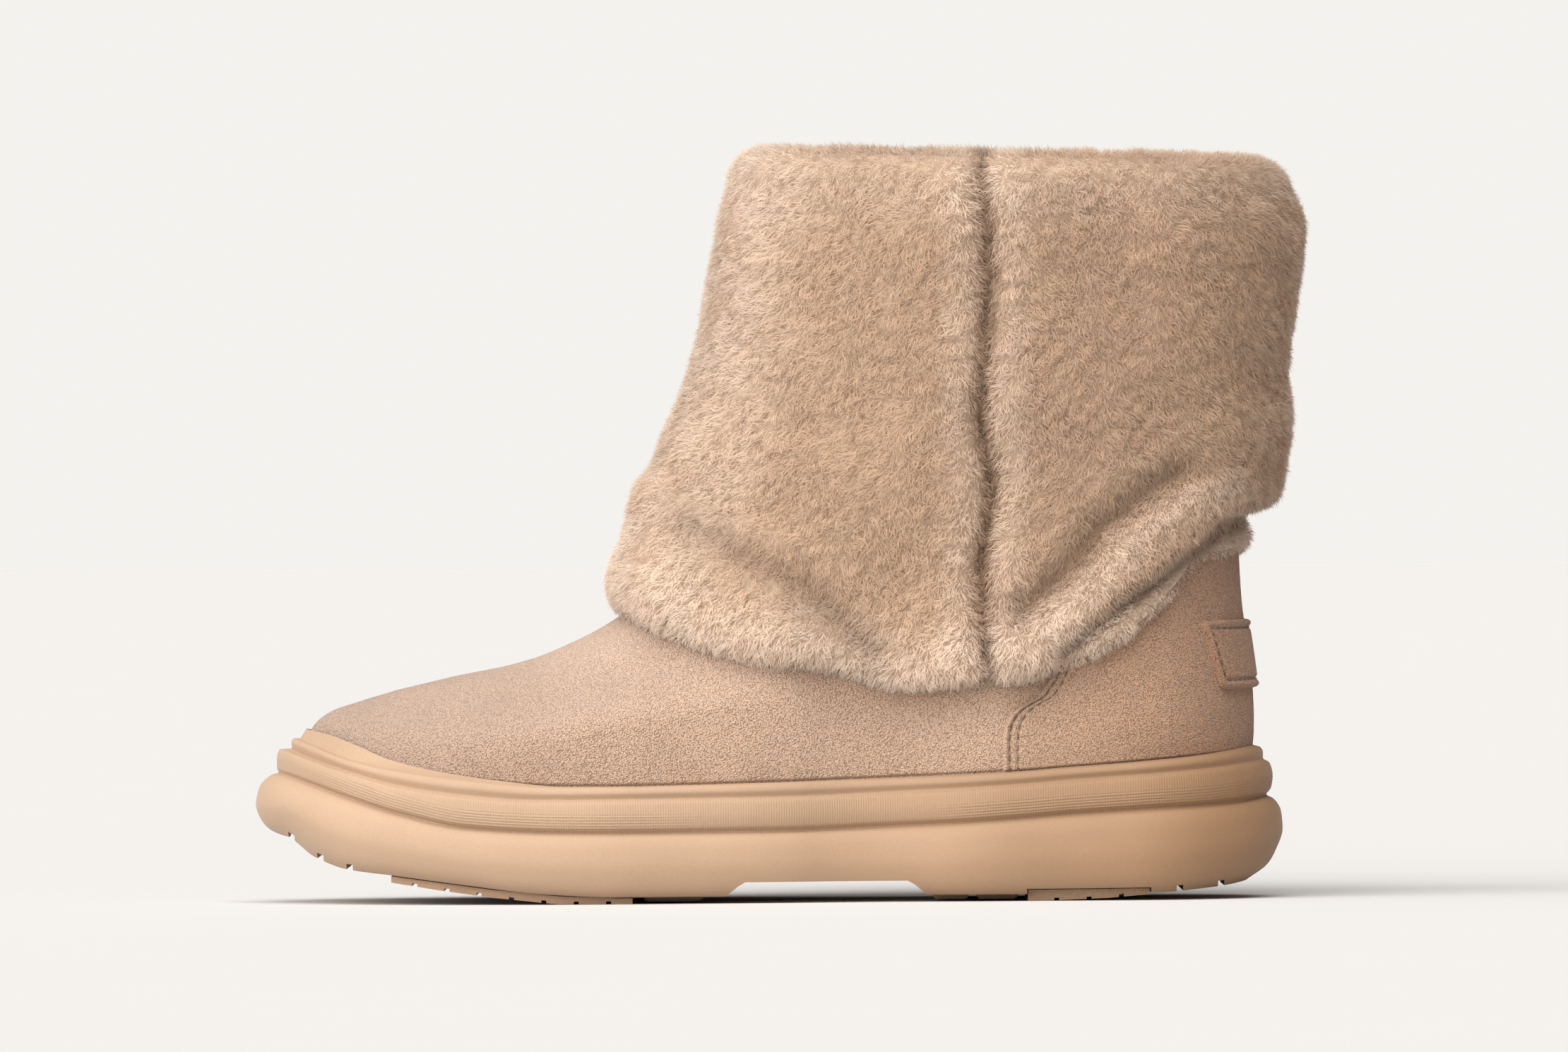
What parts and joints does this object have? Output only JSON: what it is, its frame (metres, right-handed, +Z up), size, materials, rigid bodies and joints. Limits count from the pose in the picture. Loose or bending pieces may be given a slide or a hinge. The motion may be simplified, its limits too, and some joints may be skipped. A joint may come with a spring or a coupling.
{
  "type": "sheepskin boot",
  "caption": "Left ankle boot with a suede upper, a folded-down fur cuff in two panels and a thick two-tier moulded foam sole with rubber treads.",
  "frame": {"origin": "on the ground, under the middle of the boot's bounding box", "axes": "+Z up, +X from toe to heel, -Y the outer side of the left foot"},
  "size_m": [0.296, 0.1202, 0.212],
  "materials": {
    "foam": "matte moulded foam with fine ribs and contour lines",
    "tread_rubber": "matte rubber with cross grooves",
    "fleece": "short dense wool pile",
    "suede": "napped suede, same-colour stitching",
    "fur": "deep curly wool pile, lighter at the rolled edges"
  },
  "bodies": {
    "root": {"midsole": "foam", "outsole_forefoot": "tread_rubber", "outsole_heel": "tread_rubber", "insole": "fleece", "upper": "suede", "heel_counter": "suede", "heel_tab": "suede", "cuff_front": "fur", "cuff_rear": "fur"}
  },
  "joints": []
}
